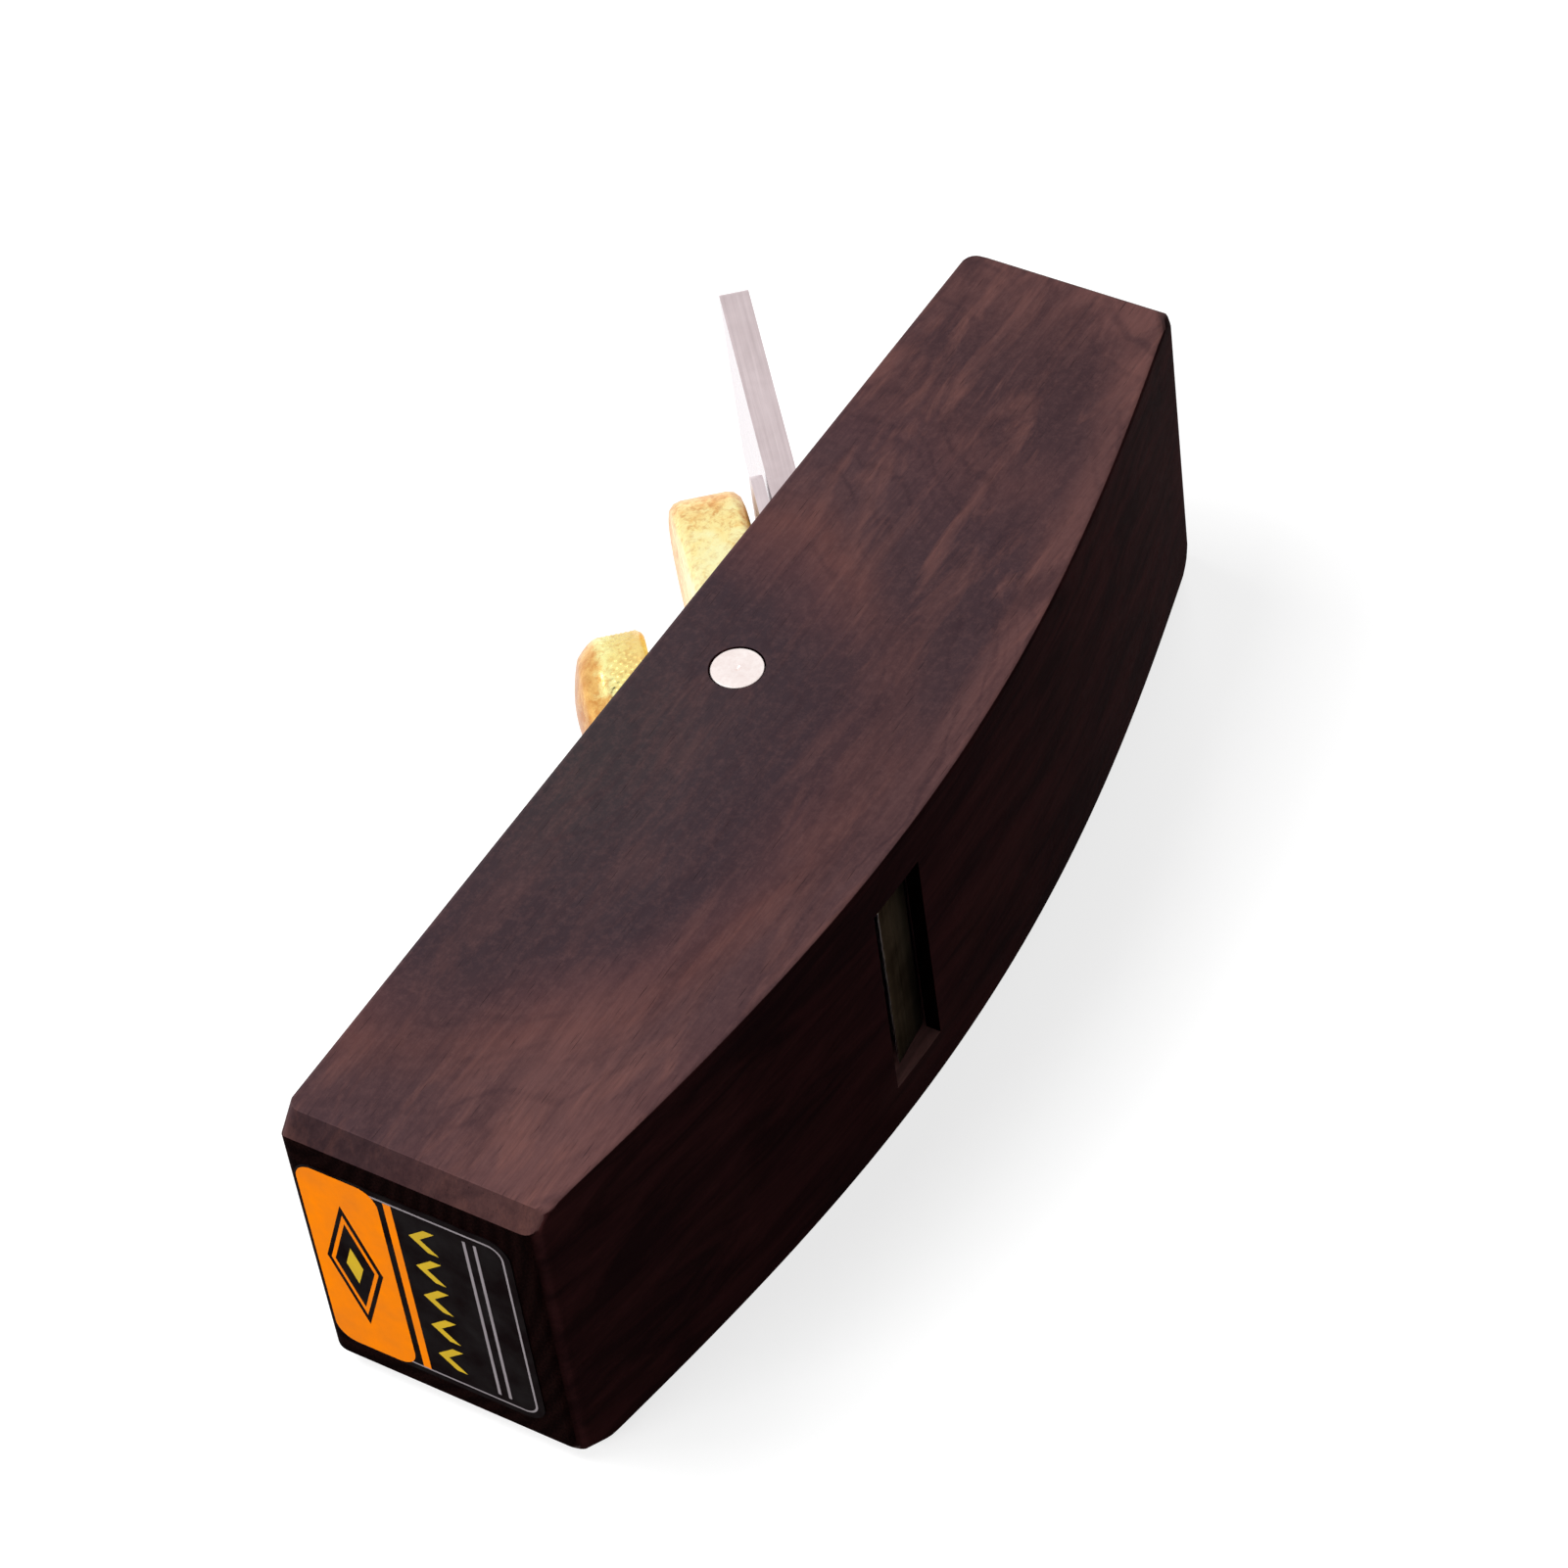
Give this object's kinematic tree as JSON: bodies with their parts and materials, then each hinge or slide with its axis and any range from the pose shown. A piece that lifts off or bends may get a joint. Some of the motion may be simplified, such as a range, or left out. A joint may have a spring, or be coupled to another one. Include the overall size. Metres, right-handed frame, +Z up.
{
  "type": "leather skiving plane",
  "caption": "Small wooden compass-soled plane with a steel blade held by a brass lever cap, cross pin and knurled thumb screw.",
  "frame": {"origin": "on the resting right cheek, at mid length and half way between the flat top face and the crown of the sole", "axes": "+X to the toe, +Y to the sole, +Z up through the two cheeks"},
  "size_m": [0.12, 0.0551, 0.033],
  "materials": {
    "body": "oiled ebony",
    "blade": "ground",
    "chip_breaker": "ground",
    "lever_cap": "satin cast",
    "cross_pin": "turned",
    "screw_stud": "threaded",
    "screw_knob": "knurled"
  },
  "bodies": {
    "stock": {"body": "body", "cross_pin": "cross_pin"},
    "iron": {"blade": "blade"},
    "breaker": {"chip_breaker": "chip_breaker"},
    "cap": {"lever_cap": "lever_cap"},
    "stud": {"screw_stud": "screw_stud"},
    "knob": {"screw_knob": "screw_knob"}
  },
  "joints": [
    {"name": "blade_slide", "type": "slide", "parent": "stock", "child": "iron", "axis": [-0.7547, -0.6561, 0], "range_m": [-0.0026, 0.047]},
    {"name": "breaker_slide", "type": "slide", "parent": "iron", "child": "breaker", "axis": [-0.7547, -0.6561, 0], "range_m": [-0.001, 0.02]},
    {"name": "cap_pivot", "type": "hinge", "parent": "stock", "child": "cap", "pos_m": [-0.00188, -0.00752, 0.0165], "axis": [0, 0, 1], "range_deg": [-1, 0]},
    {"name": "stud_travel", "type": "slide", "parent": "cap", "child": "stud", "axis": [0.6561, -0.7547, 0], "range_m": [0, 0.004]},
    {"name": "knob_turn", "type": "hinge", "parent": "stud", "child": "knob", "pos_m": [-0.00781, -0.02205, 0.0165], "axis": [0.6561, -0.7547, 0], "range_deg": [0, 1800]}
  ],
  "couplings": [
    {"joint": "stud_travel", "follows": "knob_turn", "m_per_rad": 0.00012732}
  ]
}
